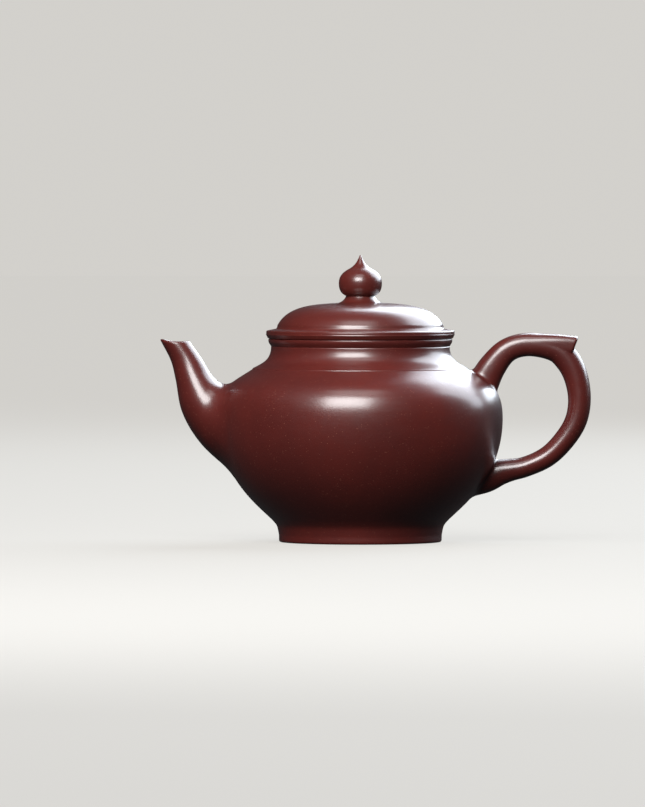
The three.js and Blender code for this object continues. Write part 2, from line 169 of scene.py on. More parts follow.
def outline(*parts):
    """One closed outline. A part is a curve, or a corner.

    A corner is its radius, its height and how far its rounding reaches.
    """
    rows = []
    for part in parts:
        if np.ndim(part) == 1:
            rows.append(part)
        else:
            rows.extend((r, z, 0) for r, z in part)
    points = []
    for i, (r, z, size) in enumerate(rows):
        tip = np.array([r, z])
        if size == 0:
            points.append(tip)
            continue
        before = tip + size * unit(np.array(rows[i - 1][:2]) - tip)
        after = tip + size * unit(np.array(rows[(i + 1) % len(rows)][:2]) - tip)
        leave, arrive = (before + 2 * tip) / 3, (after + 2 * tip) / 3
        points.extend(bezier(before, leave, arrive, after, CORNER_STEPS))
    return filled(np.array(points))


def filled(points):
    """The outline with every long straight stretch cut into short steps."""
    rows = []
    for here, there in zip(points, np.roll(points, -1, axis=0)):
        length = np.linalg.norm(there - here)
        if length < 1e-6 or (here[0] == 0 and there[0] == 0):
            rows.append(here)
            continue
        count = max(1, math.ceil(length / LONGEST_STEP))
        rows.extend(here + (there - here) * k / count for k in range(count))
    return np.array(rows)


def body_outline():
    """Foot to shoulder line.

    A short fillet leads out of the foot, the long flank rises to the belly, and the shoulder
    closes in above it.
    """
    foot = np.array([FOOT_TOP_R, FOOT_TOP_Z])
    flank = foot + [2.2, 3.4]
    belly = np.array([BELLY_R, BELLY_Z])
    shoulder = np.array([SHOULDER_R, LINE_Z])
    out, rise = belly - flank
    back, climb = belly[0] - shoulder[0], shoulder[1] - belly[1]
    fillet = bezier(foot, foot + [0.3, 1.5], flank - [1.2, 1.3], flank, 8)
    leave, arrive = flank + [0.27 * out, 0.14 * rise], belly - [0, 0.57 * rise]
    flank_line = bezier(flank, leave, arrive, belly, 48)
    leave, arrive = belly + [0, 0.67 * climb], shoulder + [0.53 * back, -0.262 * climb]
    shoulder_line = bezier(belly, leave, arrive, shoulder, 36)
    return np.vstack([fillet, flank_line[1:], shoulder_line[1:]])


BODY = body_outline()


# ---------- Meshes ----------


def skin(rings, caps=None):
    """Faces between neighbouring rings.

    Without caps the last ring joins the first. A cap is the point that an end closes on.
    """
    count, around = rings.shape[:2]
    points = rings.reshape(-1, 3)
    here = np.arange(around)
    there = np.roll(here, -1)
    faces = []
    for i in range(count if caps is None else count - 1):
        a, b = i * around, (i + 1) % count * around
        faces.extend(np.stack([a + here, a + there, b + there, b + here], 1).tolist())
    if caps is not None:
        first, last, base = len(points), len(points) + 1, (count - 1) * around
        points = np.vstack([points, caps])
        faces.extend([first, int(there[k]), int(here[k])] for k in range(around))
        faces.extend([last, int(base + here[k]), int(base + there[k])] for k in range(around))
    return points, faces


def make(name, *shells):
    """One object from closed shells of points and faces, in millimetres about the pot's axis."""
    points, faces = [], []
    for shell_points, shell_faces in shells:
        start = sum(len(part) for part in points)
        points.append(shell_points)
        faces.extend([start + corner for corner in face] for face in shell_faces)
    mesh = bpy.data.meshes.new(name)
    placed = (np.vstack(points) + [AXIS_X, 0, 0]) * MM
    mesh.from_pydata(placed.tolist(), [], faces)
    work = bmesh.new()
    work.from_mesh(mesh)
    bmesh.ops.recalc_face_normals(work, faces=work.faces)
    work.to_mesh(mesh)
    work.free()
    mesh.shade_smooth()
    piece = bpy.data.objects.new(name + "_fine", mesh)
    bpy.context.scene.collection.objects.link(piece)
    return piece


def turned(profile, turns):
    """A body of revolution about the pot's axis. A profile that touches the axis closes on it."""
    on_axis = profile[:, 0] < ON_AXIS
    caps = None
    if on_axis.any():
        start = int(np.argmax(on_axis & ~np.roll(on_axis, -1)))
        profile = np.roll(profile, -start, axis=0)
        ends = profile[profile[:, 0] < ON_AXIS]
        profile = profile[profile[:, 0] >= ON_AXIS]
        caps = np.array([[0, 0, ends[0, 1]], [0, 0, ends[-1, 1]]])
    angle = round_angles(turns)
    r, z = profile[:, :1], profile[:, 1:]
    rings = np.stack([r * np.cos(angle), r * np.sin(angle), z + 0 * angle], 2)
    return skin(rings, caps)


def rod(start, end, radius, sides):
    """A plain rod, only used to drill with. Any direction that no rod follows sets its sides."""
    axis = unit(np.array(end, float) - start)
    side = unit(np.cross(axis, [0.3, 1, 0.2]))
    up = np.cross(axis, side)
    angle = round_angles(sides)[:, None]
    circle = radius * (np.cos(angle) * side + np.sin(angle) * up)
    return skin(np.stack([start + circle, end + circle]), np.array([start, end], float))


def settle(piece):
    """Applies the piece's modifiers."""
    graph = bpy.context.evaluated_depsgraph_get()
    mesh = bpy.data.meshes.new_from_object(piece.evaluated_get(graph))
    piece.modifiers.clear()
    piece.data = mesh
    mesh.shade_smooth()


def drill(piece, *rods):
    """Takes the rods out of the piece, and leaves the edges of the holes crisp."""
    cutter = make("drill", *rods)
    cut = piece.modifiers.new("drill", "BOOLEAN")
    cut.operation = "DIFFERENCE"
    cut.solver = "EXACT"
    cut.object = cutter
    settle(piece)
    piece.data.set_sharp_from_angle(angle=HARD_EDGE)
    bpy.data.objects.remove(cutter)


# ---------- Coils and how they are luted on ----------


def spline(rows, steps):
    """A smooth line through rows of numbers, a centripetal Catmull-Rom.

    The first two numbers of a row are its place.
    """
    rows = np.array(rows, float)
    rows = np.vstack([2 * rows[0] - rows[1], rows, 2 * rows[-1] - rows[-2]])
    gaps = np.sqrt(np.linalg.norm(np.diff(rows[:, :2], axis=0), axis=1))
    t = np.linspace(0, 1, steps, endpoint=False)[:, None]
    line = []
    for i in range(1, len(rows) - 2):
        a, b, c, d = rows[i - 1 : i + 3]
        before, here, after = gaps[i - 1 : i + 2]
        leave = c - b + here * ((b - a) / before - (c - a) / (before + here))
        arrive = c - b + here * ((d - c) / after - (d - b) / (here + after))
        bend = 3 * (c - b) - 2 * leave - arrive
        line.append(b + leave * t + bend * t**2 + (2 * (b - c) + leave + arrive) * t**3)
    return np.vstack([*line, rows[-2:-1]])


def ovals(middle, half, width, roundness):
    """Rings round a line in the XZ plane, each with its half reach there and its width along Y."""
    turn = round_angles(RAILS)
    bend = np.reshape(roundness, (-1, 1)) * np.ones(RAILS)
    across = np.sign(np.cos(turn)) * np.abs(np.cos(turn)) ** bend
    along_y = np.sign(np.sin(turn)) * np.abs(np.sin(turn)) ** bend
    x = middle[:, :1] + half[:, :1] * across
    z = middle[:, 1:] + half[:, 1:] * across
    return np.stack([x, -np.reshape(width, (-1, 1)) / 2 * along_y, z], 2)


def coil(rows, steps):
    """Rings of a coil. Each row is x, z, thickness, width and roundness.

    A roundness of 1 is an oval, and less is squarer.
    """
    line = spline(rows, steps)
    along = unit(np.gradient(line[:, :2], axis=0))
    half = np.stack([-along[:, 1], along[:, 0]], 1) * line[:, 2:3] / 2
    return ovals(line[:, :2], half, line[:, 3], line[:, 4])


def body_radius(z):
    return np.interp(z, BODY[:, 1], BODY[:, 0])


def on_body(points):
    """The points moved level, towards the axis or away from it, onto the pot's outside."""
    scale = body_radius(points[:, 2]) / np.hypot(points[:, 0], points[:, 1])
    return points * np.stack([scale, scale, np.ones_like(scale)], 1)


def body_normal(points, reach=0.4):
    """The way straight out of the pot's outside, at points on it."""
    above, below = body_radius(points[:, 2] + reach), body_radius(points[:, 2] - reach)
    slope = (above - below) / (2 * reach)
    level = points[:, :2] / np.hypot(points[:, 0], points[:, 1])[:, None]
    return unit(np.column_stack([level, -slope]))


def walk(points, way, distance, steps=8):
    """Moves points over the pot's outside. Gives where they arrive, and the way they then head."""
    for _ in range(steps):
        points = on_body(points + way * np.reshape(distance, (-1, 1)) / steps)
        normal = body_normal(points)
        way = unit(way - normal * np.sum(way * normal, axis=1, keepdims=True))
    return points, way


def smooth_round(values, passes=6):
    """Evens out what varies round a ring."""
    for _ in range(passes):
        values = (np.roll(values, 1, axis=0) + 2 * values + np.roll(values, -1, axis=0)) / 4
    return values


KEPT_RINGS = 60
FILLET_RINGS = 18
# How far the fillet's curve keeps to its course at each end, as a share of the fillet's reach.
FILLET_PULL = 0.62
# Past the fillet the rings go this much further over the pot, dipping with the square of it.
SINK_STEPS = (0.3, 0.6, 0.9)
SINK_CURVE = 0.25
ROOT_DEPTH = 1.8


def where_met(rings, travelled):
    """How far along each rail it meets the pot's outside."""
    gap = np.hypot(rings[..., 0], rings[..., 1]) - body_radius(rings[..., 2])
    met = np.zeros(RAILS)
    for k in range(RAILS):
        i = int(np.argmax(gap[:, k] < 0))
        share = gap[i - 1, k] / (gap[i - 1, k] - gap[i, k])
        met[k] = travelled[i - 1, k] + share * (travelled[i, k] - travelled[i - 1, k])
    return met


def out_of_joint(meeting):
    """The way over the pot's outside, at each rail, that leads straight out of the joint."""
    round_way = np.roll(meeting, -1, axis=0) - np.roll(meeting, 1, axis=0)
    out = unit(np.cross(round_way, body_normal(meeting)))
    outward = np.sum(out * (meeting - meeting.mean(axis=0)), axis=1, keepdims=True)
    return unit(smooth_round(out * np.sign(outward)))


def sunk_rings(landing, way):
    """Rings that dip from a landing below the pot's skin, and one that ends inside its wall."""
    rings = []
    for step in SINK_STEPS:
        place, _ = walk(landing, way, step, steps=2)
        rings.append(place - body_normal(place) * SINK_CURVE * step**2)
    rings.append(place - body_normal(place) * ROOT_DEPTH)
    return rings


def lute(rings, leave, land):
    """Ends rings in a smoothed fillet on the pot's outside.

    The rings run from the free end to one inside the pot. Along each rail the clay leaves its
    course a distance before it meets the pot, and lands on the pot that much further out. Past
    there the rails end inside the wall, where nothing shows.
    """
    length = np.linalg.norm(np.diff(rings, axis=0), axis=2)
    travelled = np.vstack([np.zeros(RAILS), np.cumsum(length, axis=0)])

    def along(distance):
        places = np.zeros((RAILS, 3))
        for k in range(RAILS):
            for axis in range(3):
                places[k, axis] = np.interp(distance[k], travelled[:, k], rings[:, k, axis])
        return places

    met = where_met(rings, travelled)
    meeting = on_body(along(met))
    landing, way = walk(meeting, out_of_joint(meeting), land)
    left = met - leave
    start = along(left)
    heading = unit(along(left + 0.2) - along(left - 0.2))
    pull_out = heading * FILLET_PULL * leave[:, None]
    pull_in = way * FILLET_PULL * land[:, None]
    kept = [along(left * k / KEPT_RINGS) for k in range(KEPT_RINGS)]
    fillet = bezier(start, start + pull_out, landing - pull_in, landing, FILLET_RINGS)
    return np.concatenate([kept, fillet, sunk_rings(landing, way)])


def eased(outer, side, inner):
    """A distance for each rail, from its values at the outer edge, the sides and the inner edge."""
    turn = round_angles(RAILS)
    outer_share = np.maximum(np.cos(turn), 0) ** 2
    inner_share = np.maximum(-np.cos(turn), 0) ** 2
    return outer * outer_share + inner * inner_share + side * np.sin(turn) ** 2


# ---------- Clay ----------

# A noise of scale 1 has features of about this size.
NOISE_FEATURE = 0.6


def node(tree, kind, **values):
    """A new node, with values for its inputs or its settings."""
    made = tree.nodes.new(kind)
    for name, value in values.items():
        if name in made.inputs:
            made.inputs[name].default_value = value
        else:
            setattr(made, name, value)
    return made


def noise(tree, place, size, detail=3.0, rough=0.55):
    """Noise with features about that many millimetres across. Place is a vector in metres."""
    scale = NOISE_FEATURE / (size * MM)
    made = node(tree, "ShaderNodeTexNoise", Scale=scale, Detail=detail, Roughness=rough)
    tree.links.new(place, made.inputs["Vector"])
    return made.outputs["Fac"]


def remap(tree, value, from_low, from_high, to_low, to_high):
    made = node(tree, "ShaderNodeMapRange")
    made.inputs["From Min"].default_value = from_low
    made.inputs["From Max"].default_value = from_high
    made.inputs["To Min"].default_value = to_low
    made.inputs["To Max"].default_value = to_high
    tree.links.new(value, made.inputs["Value"])
    return made.outputs["Result"]


def mixed(tree, share, first, second):
    """A colour between two others. Each is a colour or an output."""
    made = node(tree, "ShaderNodeMix", data_type="RGBA")
    tree.links.new(share, made.inputs["Factor"])
    for socket, colour in ((made.inputs[6], first), (made.inputs[7], second)):
        if isinstance(colour, tuple):
            socket.default_value = (*colour, 1)
        else:
            tree.links.new(colour, socket)
    return made.outputs[2]


def summed(tree, *terms):
    """The sum of outputs, each times its weight."""
    total = None
    for value, weight in terms:
        made = node(tree, "ShaderNodeMath", operation="MULTIPLY_ADD")
        tree.links.new(value, made.inputs[0])
        made.inputs[1].default_value = weight
        made.inputs[2].default_value = 0
        if total is not None:
            tree.links.new(total, made.inputs[2])
        total = made.outputs[0]
    return total


CLOUD_SIZE = 15
MOTTLE_SIZE = 1.6
GRAIN_SPACING = 0.55
MARK_SIZE = 9
FINE_MARK_SIZE = 2.4
GRIT_SIZE = 0.5
# The burnishing marks are this many times longer round the pot than they are high.
MARK_STRETCH = 14
CLAY_IOR = 1.5
CLAY_SPECULAR = 0.3
COAT_ROUGHNESS = 0.24


def levelled(tree, place):
    """The place, squeezed in height, so that what is drawn with it comes out long and level."""
    made = node(tree, "ShaderNodeVectorMath", operation="MULTIPLY")
    tree.links.new(place, made.inputs[0])
    made.inputs[1].default_value = (1, 1, MARK_STRETCH)
    return made.outputs[0]


def grains_of_sand(tree, place):
    """Where the grains are, and how far each one shows as pale."""
    grains = node(tree, "ShaderNodeTexVoronoi", Scale=1 / (GRAIN_SPACING * MM))
    tree.links.new(place, grains.inputs["Vector"])
    grain_tone = node(tree, "ShaderNodeSeparateColor")
    tree.links.new(grains.outputs["Color"], grain_tone.inputs[0])
    speck = remap(tree, grains.outputs["Distance"], 0.16, 0.3, 1, 0)
    pale_share = node(tree, "ShaderNodeMath", operation="MULTIPLY")
    tree.links.new(speck, pale_share.inputs[0])
    tree.links.new(remap(tree, grain_tone.outputs[0], 0.86, 0.98, 0, 0.6), pale_share.inputs[1])
    return speck, pale_share.outputs[0]


def clay(name, colour, dark, pale, smooth, matt, relief, polish):
    """Fired clay: clouded colour, pale and dark grains of sand, and the burnishing tool's marks.

    The burnisher is drawn round the pot, so its marks are long and level. Smooth and matt are
    the roughness where it pressed most and least, and relief is the height of the grain and the
    marks in millimetres. Polish is how much of the tight shine of a handled, burnished skin
    lies over the clay's own softer one.
    """
    material = bpy.data.materials.new(name)
    material.use_nodes = True
    tree = material.node_tree
    tree.nodes.clear()
    place = node(tree, "ShaderNodeTexCoord").outputs["Object"]
    level = levelled(tree, place)

    clouds = remap(tree, noise(tree, place, CLOUD_SIZE), 0.35, 0.65, 0, 1)
    mottle = remap(tree, noise(tree, place, MOTTLE_SIZE, 4), 0.3, 0.7, 0, 1)
    speck, pale_share = grains_of_sand(tree, place)
    tone = mixed(tree, clouds, colour, dark)
    tone = mixed(tree, remap(tree, mottle, 0, 1, 0, 0.35), tone, dark)
    tone = mixed(tree, pale_share, tone, pale)

    marks = noise(tree, level, MARK_SIZE, 4, 0.6)
    fine_marks = noise(tree, level, FINE_MARK_SIZE, 3, 0.6)
    grit = noise(tree, place, GRIT_SIZE, 2, 0.6)
    wear = summed(tree, (marks, 0.5), (mottle, 0.25), (clouds, 0.25))
    height = summed(tree, (marks, 0.35), (fine_marks, 0.2), (grit, 0.85), (speck, 0.05))
    bump = node(tree, "ShaderNodeBump", Distance=relief * MM, Strength=1.0)
    tree.links.new(height, bump.inputs["Height"])

    shader = node(tree, "ShaderNodeBsdfPrincipled")
    shader.inputs["IOR"].default_value = CLAY_IOR
    shader.inputs["Specular IOR Level"].default_value = CLAY_SPECULAR
    shader.inputs["Coat Weight"].default_value = polish
    shader.inputs["Coat Roughness"].default_value = COAT_ROUGHNESS
    shader.inputs["Coat IOR"].default_value = CLAY_IOR
    tree.links.new(tone, shader.inputs["Base Color"])
    tree.links.new(remap(tree, wear, 0.3, 0.7, smooth, matt), shader.inputs["Roughness"])
    tree.links.new(bump.outputs["Normal"], shader.inputs["Normal"])
    output = node(tree, "ShaderNodeOutputMaterial")
    tree.links.new(shader.outputs[0], output.inputs["Surface"])
    return material


POT_RED, POT_DARK = (0.071, 0.0102, 0.0078), (0.053, 0.0078, 0.0062)
LID_RED, LID_DARK = (0.074, 0.0106, 0.0078), (0.055, 0.0082, 0.0062)
RAW_RED, RAW_DARK = (0.13, 0.035, 0.025), (0.09, 0.024, 0.018)
SAND = (0.24, 0.09, 0.06)

pot_clay = clay(
    "pot_clay", POT_RED, POT_DARK, SAND, smooth=0.33, matt=0.43, relief=0.03, polish=0.75
)
lid_clay = clay(
    "lid_clay", LID_RED, LID_DARK, SAND, smooth=0.31, matt=0.41, relief=0.03, polish=0.8
)
raw_clay = clay(
    "raw_clay", RAW_RED, RAW_DARK, SAND, smooth=0.55, matt=0.72, relief=0.05, polish=0.0
)


def finish_piece(piece, body, slot, material, *nodes):
    """Gives a piece its clay and its body, and hides the CAD nodes that it stands for."""
    piece.data.materials.clear()
    piece.data.materials.append(material)
    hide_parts(*nodes)
    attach(piece, body)


# ---------- The pot's pieces ----------


def pot_wall():
    """Foot ring, wall and shoulder disc in one piece, burnished until no seam is left."""
    foot_in = FOOT_R - FOOT_WIDTH
    cavity = between(offset(BODY, WALL), FLOOR_Z, WALL_TOP_Z)[::-1]
    profile = outline(
        (foot_in, 0, 0.6),
        (FOOT_R, 0, 0.9),
        (FOOT_R + 0.05, FOOT_TOP_Z * 0.55, 0.5),
        BODY,
        (BORE_R, LINE_Z, 0),
        (BORE_R, WALL_TOP_Z, 0.6),
        cavity[:-1],
        (DISC_R, FLOOR_Z, 0),
        (DISC_R, FOOT_TOP_Z, 0),
        (foot_in, FOOT_TOP_Z, 0),
    )
    piece = make("pot_wall", turned(profile, POT_TURNS))
    outside, inside = (-BELLY_R - 6, 0, HOLE_Z), (-BELLY_R + 12, 0, HOLE_Z)
    drill(piece, rod(outside, inside, HOLE_R, 48))
    return piece


def base_disc():
    profile = outline(
        (0, FOOT_TOP_Z, 0),
        (DISC_R, FOOT_TOP_Z, 0),
        (DISC_R, FLOOR_Z, 0.3),
        (0, FLOOR_Z, 0),
    )
    return make("base_disc", turned(profile, POT_TURNS))


def neck_collar():
    """The concave collar.

    Its foot stands a little proud of the shoulder, and that edge is the fine shoulder line.
    """
    rise = NECK_TOP_Z - LINE_Z
    foot_r, foot_z = SHOULDER_R + 0.4, LINE_Z - 0.28
    flare = bezier(
        (foot_r - 0.4, foot_z + 0.46),
        (SHOULDER_R - (SHOULDER_R - NECK_R) * 0.53, LINE_Z + rise * 0.25),
        (NECK_R, LINE_Z + rise * 0.38),
        (NECK_R, NECK_TOP_Z),
        28,
    )
    profile = outline(
        (BORE_R, LINE_Z - 0.6, 0),
        (foot_r - 0.4, LINE_Z - 0.6, 0),
        (foot_r, foot_z, 0.08),
        (foot_r - 0.1, foot_z + 0.28, 0.08),
        flare[1:],
        (BORE_R, NECK_TOP_Z, 0),
    )
    return make("neck_collar", turned(profile, POT_TURNS))


def mouth_ring():
    """The rolled ring that the lid rests on, undercut where it meets the collar."""
    swell = bezier(
        (NECK_R + 0.02, NECK_TOP_Z - 0.02),
        (NECK_R + 0.35, NECK_TOP_Z + 0.7),
        (RIM_R - 0.1, NECK_TOP_Z + 1.1),
        (RIM_R, NECK_TOP_Z + 2.0),
        10,
    )
    profile = outline(
        (BORE_R, NECK_TOP_Z - 0.02, 0),
        swell,
        (RIM_R, MOUTH_Z, 0.45),
        (BORE_R, MOUTH_Z, 0.5),
    )
    return make("mouth_ring", turned(profile, POT_TURNS))


# Each row is how far the outer edge reaches past the belly and rises above the hole, as shares
# of the spout's reach and rise, the same for the inner edge, and how much of the root's spread
# is left.
SPOUT_COURSE = (
    (-0.356, -0.572, -0.30, 0.30, 1.0),
    (0.31, -0.175, -0.11, 0.425, 0.86),
    (0.625, 0.175, 0.01, 0.518, 0.6),
    (0.736, 0.54, 0.145, 0.627, 0.27),
    (0.815, 0.747, 0.275, 0.77, 0.1),
    (1.0, 0.985, 0.479, 0.96, 0.0),
)
SPOUT_MOUTH_WIDE = 10.0
SPOUT_ROOT_WIDE = 27.0
SPOUT_WALL = 1.6
SPOUT_LIP = 0.45
SPOUT_DIP = 0.7
# The dip fades out this far below the rim.
SPOUT_DIP_DEPTH = 9
LIP_ANGLES = (150, 120, 90, 60, 30)


def spout_point(reach, rise):
    """A place beside the pot, x and z, from shares of the spout's reach and rise."""
    return -(BELLY_R + SPOUT_REACH * reach), HOLE_Z + (MOUTH_Z - HOLE_Z) * rise


def spout_rings(rows, steps):
    """Rings between an outer and an inner edge. Each row is both edges' places and the width."""
    line = spline(rows, steps)
    outer, inner = line[:, :2], line[:, 2:4]
    return ovals((outer + inner) / 2, (outer - inner) / 2, line[:, 4], 1.0)


def dipped(rings):
    """The rim dips a little between its outer lip and its inner edge."""
    turn = round_angles(RAILS)
    below = MOUTH_Z - rings[..., 2]
    near_rim = np.clip(1 - below / SPOUT_DIP_DEPTH, 0, 1) ** 2
    return rings - (SPOUT_DIP * near_rim * np.sin(turn) ** 2)[..., None] * [0, 0, 1]


def spout_bore(rows):
    """Rings of the bore, from the hole in the pot's wall to the mouth."""
    start_x = -BELLY_R + 1.6
    bore_rows = [
        (start_x, HOLE_Z - HOLE_R, start_x, HOLE_Z + HOLE_R, 2 * HOLE_R),
        (*spout_point(0.24, -0.167), *spout_point(0.02, 0.234), 2 * HOLE_R),
    ]
    for ax, az, bx, bz, wide in rows[2:]:
        x, z = SPOUT_WALL * unit(np.array([bx - ax, bz - az]))
        bore_rows.append((ax + x, az + z, bx - x, bz - z, wide - 2 * SPOUT_WALL))
    return dipped(spout_rings(bore_rows, COIL_STEPS))


def spout():
    """The spout: its outside, its bore, and a rounded lip between them."""
    spread = SPOUT_ROOT_WIDE - SPOUT_MOUTH_WIDE
    rows = [
        (*spout_point(a, b), *spout_point(c, d), SPOUT_MOUTH_WIDE + spread * share)
        for a, b, c, d, share in SPOUT_COURSE
    ]
    outside = dipped(spout_rings(rows, SPOUT_STEPS)[::-1])
    outside = lute(outside, leave=eased(5.0, 11.0, 6.5), land=eased(4.5, 8.0, 5.0))
    bore = spout_bore(rows)
    middle, half = (bore[-1] + outside[0]) / 2, (bore[-1] - outside[0]) / 2
    turn = np.radians(LIP_ANGLES)[:, None, None]
    lip = middle + half * np.cos(turn) + np.sin(turn) * [0, 0, SPOUT_LIP]
    return make("spout", skin(np.concatenate([outside, bore, lip[::-1]])))


SIEVE_WALL = 1.6
SIEVE_SKIRT = 2.4
SIEVE_RISE = 5.6
SIEVE_HOLE_R = 0.95
# Each ring of holes: how far it leans away from the middle, in radians, and its number of holes.
SIEVE_HOLES = ((0, 1), (0.36, 6), (0.78, 10))


def sieve_dome(radius, rise):
    """The dome's curve about +Z, from its skirt to its top."""
    top = SIEVE_SKIRT + rise
    leave, arrive = (radius, SIEVE_SKIRT + 0.55 * rise), (0.55 * radius, top)
    return bezier((radius, SIEVE_SKIRT), leave, arrive, (0, top), 14)


def strainer():
    """A pierced clay dome that plugs the hole in the wall and bulges into the pot."""
    inner_r = SIEVE_R - SIEVE_WALL
    inside = sieve_dome(inner_r, SIEVE_RISE - SIEVE_WALL)[::-1]
    foot = [(inner_r, 0), (SIEVE_R, 0)]
    points, faces = turned(np.vstack([inside, foot, sieve_dome(SIEVE_R, SIEVE_RISE)]), SIEVE_TURNS)
    piece = make("strainer", (laid_down(points), faces))
    rods = []
    # Every rod starts inside the dome and ends beyond it.
    for lean, count in SIEVE_HOLES:
        for turn in round_angles(count):
            out = math.sin(lean)
            way = np.array([out * math.cos(turn), out * math.sin(turn), math.cos(lean)])
            start, end = laid_down(np.array([1.5 * way, 12 * way]) + [0, 0, 1])
            rods.append(rod(start, end, SIEVE_HOLE_R, 20))
    drill(piece, *rods)
    return piece


def laid_down(points):
    """Points about +Z set about the spout's hole, with +Z pointing into the pot."""
    return np.stack([SIEVE_SEAT_X + points[:, 2], points[:, 1], HOLE_Z - points[:, 0]], 1)


# The handle's rows are x, z, thickness, width and roundness. Thickness and width are shares of
# the grip's own.


def arm_rows():
    """The upper arm: thick where it is luted on, level on top, and cut off as a thumb rest."""
    root_z = MOUTH_Z * 0.757
    middle_z = HANDLE_TOP_Z - HANDLE_THICK / 2
    end_x = BELLY_R + HANDLE_REACH - 5.6
    return [
        (body_radius(root_z) - 5.1, root_z, 1.42, 1.15, 0.85),
        (BELLY_R - HANDLE_REACH * 0.115, middle_z - 8.1, 1.21, 1.06, 0.85),
        (BELLY_R + HANDLE_REACH * 0.054, middle_z - 2.1, 1.05, 1.0, 0.85),
        (BELLY_R + HANDLE_REACH * 0.28, middle_z, 1.02, 0.98, 0.85),
        (end_x - 7, middle_z - 0.1, 0.92, 0.98, 0.65),
        (end_x - 0.9, middle_z - 0.45, 0.82, 0.96, 0.55),
    ]


# The grip. Each row is the share of the reach it stands in from the far side, the share of the
# drop, its thickness, its width and its roundness.
LOOP_COURSE = (
    (0.266, 0.115, 1.1, 1.0, 1.0),
    (0.151, 0.176, 1.12, 1.0, 1.0),
    (0.054, 0.28, 1.07, 1.0, 1.0),
    (0.0, 0.45, 1.0, 1.0, 1.0),
    (0.039, 0.607, 0.97, 0.98, 1.0),
    (0.175, 0.745, 0.94, 0.96, 1.0),
    (0.37, 0.861, 0.91, 0.94, 1.0),
    (0.63, 0.933, 0.9, 0.92, 1.0),
    (0.773, 0.951, 0.98, 0.92, 1.0),
)


def loop_rows():
    """The grip, from under the thumb rest down to the tail."""
    far = BELLY_R + HANDLE_REACH - HANDLE_THICK / 2
    drop = HANDLE_TOP_Z - MOUTH_Z * 0.32
    return [
        (far - HANDLE_REACH * inward, HANDLE_TOP_Z - drop * down, thick, wide, roundness)
        for inward, down, thick, wide, roundness in LOOP_COURSE
    ]


def tail_rows():
    """The lower root, which thickens and drops a little as it runs into the flank."""
    x, z, thick, wide, _ = loop_rows()[-1]
    root_z = z - 3
    root = body_radius(root_z)
    return [
        ((x + root) / 2 + 0.5, z - 0.9, thick * 1.17, wide * 1.04, 1.0),
        (root, root_z + 0.4, thick * 1.4, wide * 1.18, 1.0),
        (root - 4.8, root_z - 0.3, thick * 1.55, wide * 1.25, 1.0),
    ]


# The rounding of the cut end: how far out each ring stands, and how much of its size is left.
REST_ROUNDING = ((0.35, 0.93), (0.55, 0.8))
REST_LEAN = 0.34
REST_LEAN_REACH = 6


def thumb_rest(rows):
    """The end of the arm. Its cut face leans out at the top, and its edge is rounded."""
    rings = coil(rows, COIL_STEPS)
    middle = rings[-1].mean(axis=0)
    across = rings[-1] - middle
    rounded = [middle + across * share + [out, 0, 0] for out, share in REST_ROUNDING]
    rings = np.concatenate([rings, rounded])
    before_end = middle[0] - rings[..., 0]
    near_end = np.clip(1 - before_end / REST_LEAN_REACH, 0, 1)
    rings[..., 0] += REST_LEAN * near_end * (rings[..., 2] - middle[2])
    return rings


def hand_sized(rows):
    """The rows with their thickness and width in millimetres."""
    return [(x, z, t * HANDLE_THICK, w * HANDLE_WIDE, roundness) for x, z, t, w, roundness in rows]


# The arm's first rows run on into the grip, and the rest of them make the thumb rest. The coil
# is taken apart at a row of the grip while each of its ends is luted on.
ARM_SHARED_ROWS = 4
GRIP_SPLIT_ROW = 6


def handle():
    """Arm, grip and tail in one smoothed coil, with the thumb rest left standing over the grip."""
    arm = hand_sized(arm_rows())
    rows = arm[:ARM_SHARED_ROWS] + hand_sized(loop_rows()) + hand_sized(tail_rows())
    rings = coil(rows, COIL_STEPS)
    split = GRIP_SPLIT_ROW * COIL_STEPS
    upper, lower = rings[split::-1], rings[split:]
    upper = lute(upper, leave=eased(2.0, 1.7, 1.0), land=eased(1.8, 1.2, 0.8))
    lower = lute(lower, leave=eased(2.2, 2.0, 1.4), land=eased(2.4, 1.6, 0.9))
    whole = np.concatenate([upper[:0:-1], lower])
    rest = thumb_rest(arm[ARM_SHARED_ROWS - 1 :])
    shells = [skin(part, part[[0, -1]].mean(axis=1)) for part in (whole, rest)]
    piece = make("handle", *shells)
    remesh = piece.modifiers.new("union", "REMESH")
    remesh.mode = "VOXEL"
    remesh.voxel_size = VOXEL * MM
    even = piece.modifiers.new("even", "SMOOTH")
    even.factor = 0.5
    even.iterations = 12
    settle(piece)
    return piece


# ---------- The lid's pieces ----------


def lid_flange():
    """The ring under the plate, which the rest of the lid turns on."""
    top_z = SEAT_Z - LID_TURN_GAP
    profile = outline(
        (LID_BORE_R, FLANGE_LOW_Z, 0.6),
        (FLANGE_R, FLANGE_LOW_Z, 0.6),
        (FLANGE_R, top_z, 0),
        (LID_BORE_R, top_z, 0),
    )
    return make("lid_flange", turned(profile, POT_TURNS))


def lid_plate():
    """The flat plate whose edge is the lid's rim."""
    edge_z = SEAT_Z + 2.9
    profile = outline(
        (LID_BORE_R, SEAT_Z, 0),
        (LID_R - 0.75, SEAT_Z, 0.4),
        (LID_R, SEAT_Z + 1.5, 0.12),
        (LID_R - 0.1, SEAT_Z + 1.85, 0.12),
        (LID_R - 0.1, edge_z, 0.45),
        (LID_R - 1.9, edge_z + 0.42, 0.8),
        (DOME_R - 0.6, PLATE_TOP_Z, 0),
        (LID_BORE_R, PLATE_TOP_Z, 0),
    )
    return make("lid_plate", turned(profile, POT_TURNS))


